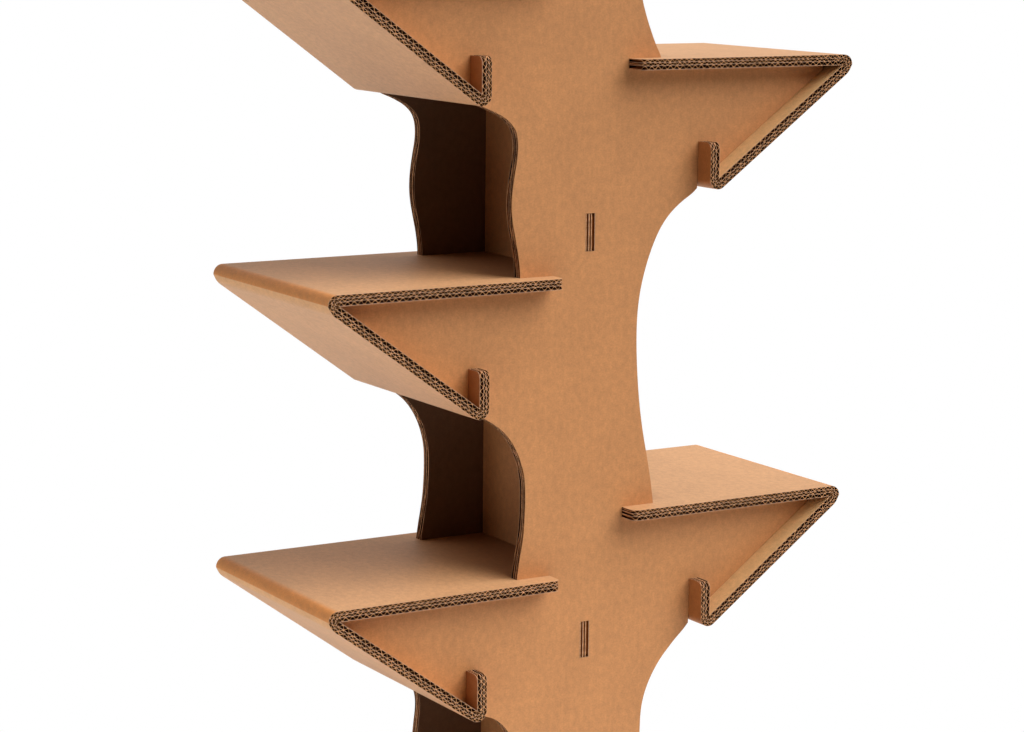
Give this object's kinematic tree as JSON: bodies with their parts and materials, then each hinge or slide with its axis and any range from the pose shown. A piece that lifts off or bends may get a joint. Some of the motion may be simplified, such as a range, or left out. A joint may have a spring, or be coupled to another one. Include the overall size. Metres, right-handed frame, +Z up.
{
  "type": "cardboard display stand",
  "caption": "Free-standing display stand slotted together from thick corrugated board, shaped like a tree, with folded shelves on branches to both sides.",
  "frame": {"origin": "on the floor, below the middle of the spine board, half way between the two panels", "axes": "+Z up, +X to the right as the front panel is seen, with three shelves on that side and four on the other, +Y from the front panel to the back panel"},
  "size_m": [0.8406, 0.35, 2],
  "materials": {
    "panel_board": "matte",
    "shelf_board": "matte"
  },
  "bodies": {
    "root": {"front_panel": "panel_board", "back_panel": "panel_board", "spine": "shelf_board", "left_shelf_1": "shelf_board", "left_shelf_2": "shelf_board", "left_shelf_3": "shelf_board", "left_shelf_4": "shelf_board", "right_shelf_1": "shelf_board", "right_shelf_2": "shelf_board", "right_shelf_3": "shelf_board"}
  },
  "joints": []
}
